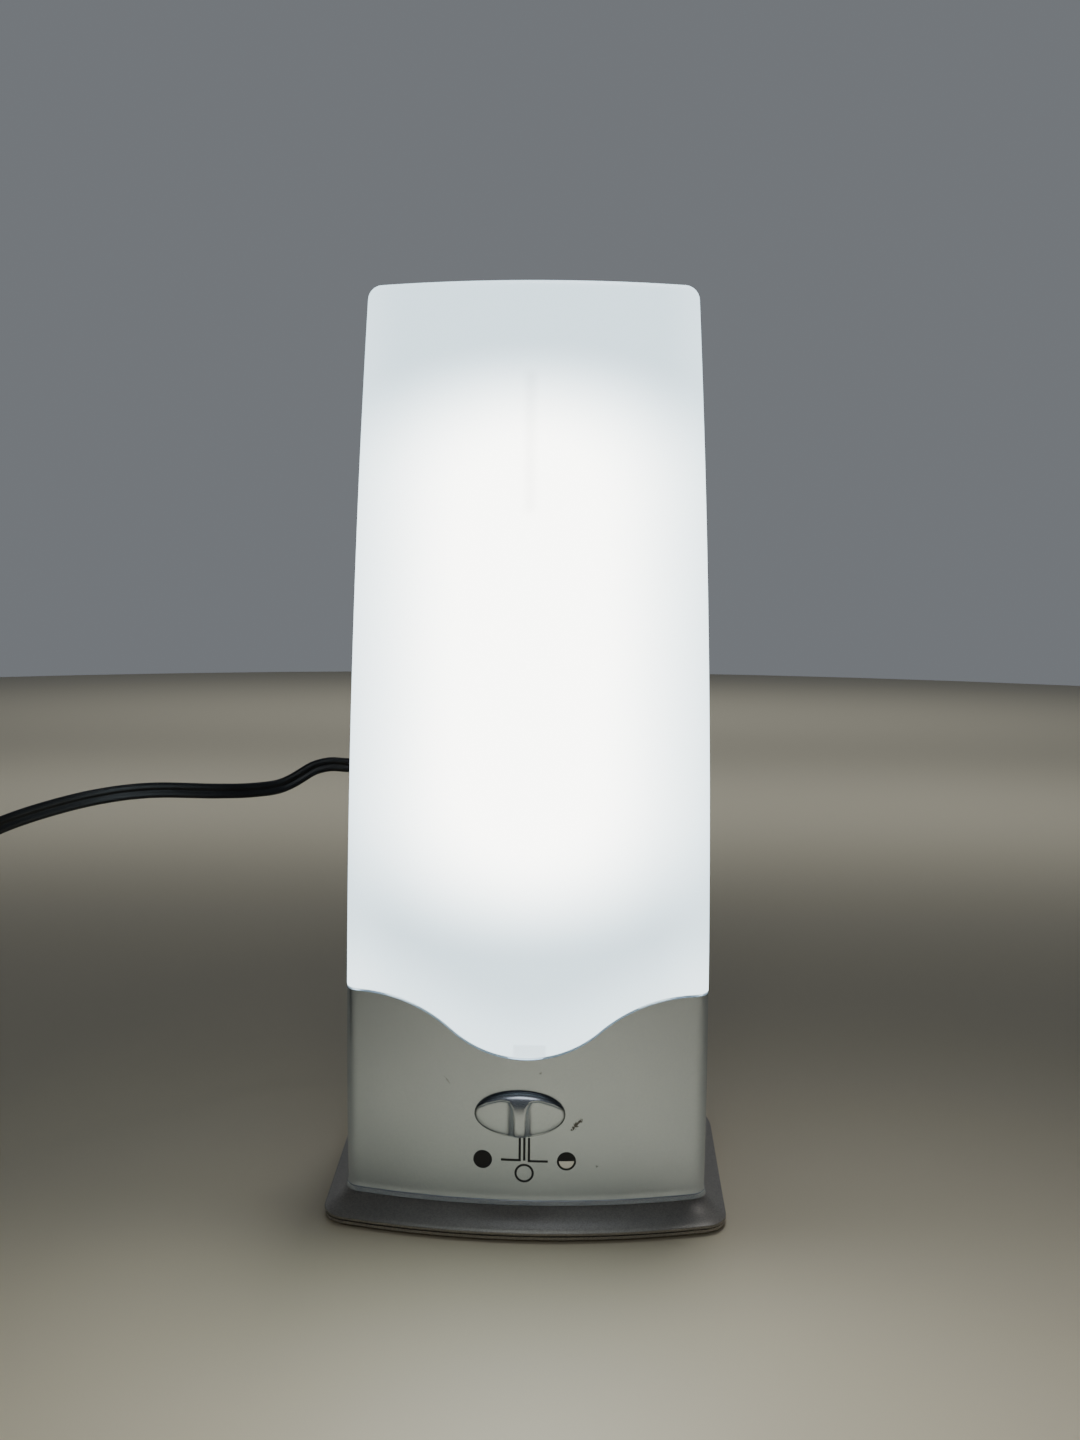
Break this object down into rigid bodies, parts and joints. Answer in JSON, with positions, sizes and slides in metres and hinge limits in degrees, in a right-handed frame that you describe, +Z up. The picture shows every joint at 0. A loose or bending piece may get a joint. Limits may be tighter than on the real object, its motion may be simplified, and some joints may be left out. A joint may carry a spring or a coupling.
{
  "type": "light therapy lamp",
  "caption": "Upright table lamp for light therapy: tall bowed white lens over a flat tube, silver lower panel with a slide switch, flared dark foot and a flat cord with a loose coil",
  "frame": {"origin": "On the table under the middle of the foot, at the bottom centre of the lamp's own box without its free cord", "axes": "+Z up, the lens faces -Y, +X is to the right for someone who faces the lens"},
  "size_m": [0.4793, 0.1904, 0.3892],
  "materials": {
    "graphite_plastic": "dark graphite satin paint on moulded plastic",
    "graphite_steel": "dark painted steel sheet",
    "bare_steel": "zinc-plated steel",
    "black_rubber": "soft black rubber",
    "silver_plastic": "silver metallic paint on moulded plastic, satin",
    "opal_plastic": "white diffusing acrylic, lit from behind",
    "coated_glass": "white phosphor-coated glass tube",
    "white_plastic": "white moulded plastic",
    "white_sheet": "gloss white enamelled aluminium sheet",
    "board": "green circuit board",
    "capacitor_sleeve": "dark blue shrink sleeve",
    "ferrite": "dark grey ferrite",
    "copper": "enamelled copper wire",
    "aluminium": "bare aluminium",
    "black_plastic": "black moulded plastic",
    "cord_vinyl": "black satin vinyl",
    "plug_brass": "bare brass"
  },
  "bodies": {
    "lamp": {"base_cover": "graphite_plastic", "base_plate": "graphite_steel", "base_weight": "bare_steel", "foot_pad_1": "black_rubber", "foot_pad_2": "black_rubber", "foot_pad_3": "black_rubber", "foot_pad_4": "black_rubber", "base_screw_1": "bare_steel", "base_screw_2": "bare_steel", "base_screw_3": "bare_steel", "base_screw_4": "bare_steel", "foot_plate": "silver_plastic", "front_panel": "silver_plastic", "rear_housing": "silver_plastic", "fluorescent_tube": "coated_glass", "lamp_base": "white_plastic", "lampholder": "white_plastic", "reflector": "white_sheet", "reflector_screw_1": "bare_steel", "reflector_screw_2": "bare_steel", "reflector_screw_3": "bare_steel", "reflector_screw_4": "bare_steel", "lamp_clip_1": "bare_steel", "lamp_clip_2": "bare_steel", "ballast_board": "board", "board_screw_1": "bare_steel", "board_screw_2": "bare_steel", "board_screw_3": "bare_steel", "board_screw_4": "bare_steel", "ballast_capacitor_1": "capacitor_sleeve", "ballast_capacitor_2": "capacitor_sleeve", "inductor_core": "ferrite", "inductor_winding": "copper", "heat_sink": "aluminium", "terminal_block": "white_plastic", "switch_body": "black_plastic", "switch_screw_1": "bare_steel", "switch_screw_2": "bare_steel", "strain_relief": "black_rubber", "mains_lead": "cord_vinyl", "lamp_lead": "cord_vinyl", "switch_lead": "cord_vinyl", "cord_lead": "cord_vinyl", "cord_coil": "cord_vinyl", "cord_plug_lead": "cord_vinyl", "cord_tie": "black_rubber", "plug_body": "cord_vinyl", "plug_blade_1": "plug_brass", "plug_blade_2": "plug_brass"},
    "lens": {"front_lens": "opal_plastic"},
    "switch_slider": {"switch_cap": "silver_plastic"}
  },
  "joints": [
    {"name": "lens_tilt", "type": "hinge", "parent": "lamp", "child": "lens", "pos_m": [0, -0.05104, 0.0712], "axis": [1, 0, 0], "range_deg": [0, 30]},
    {"name": "switch_slide", "type": "slide", "parent": "lamp", "child": "switch_slider", "axis": [1, 0, 0], "range_m": [0, 0.0039]}
  ]
}
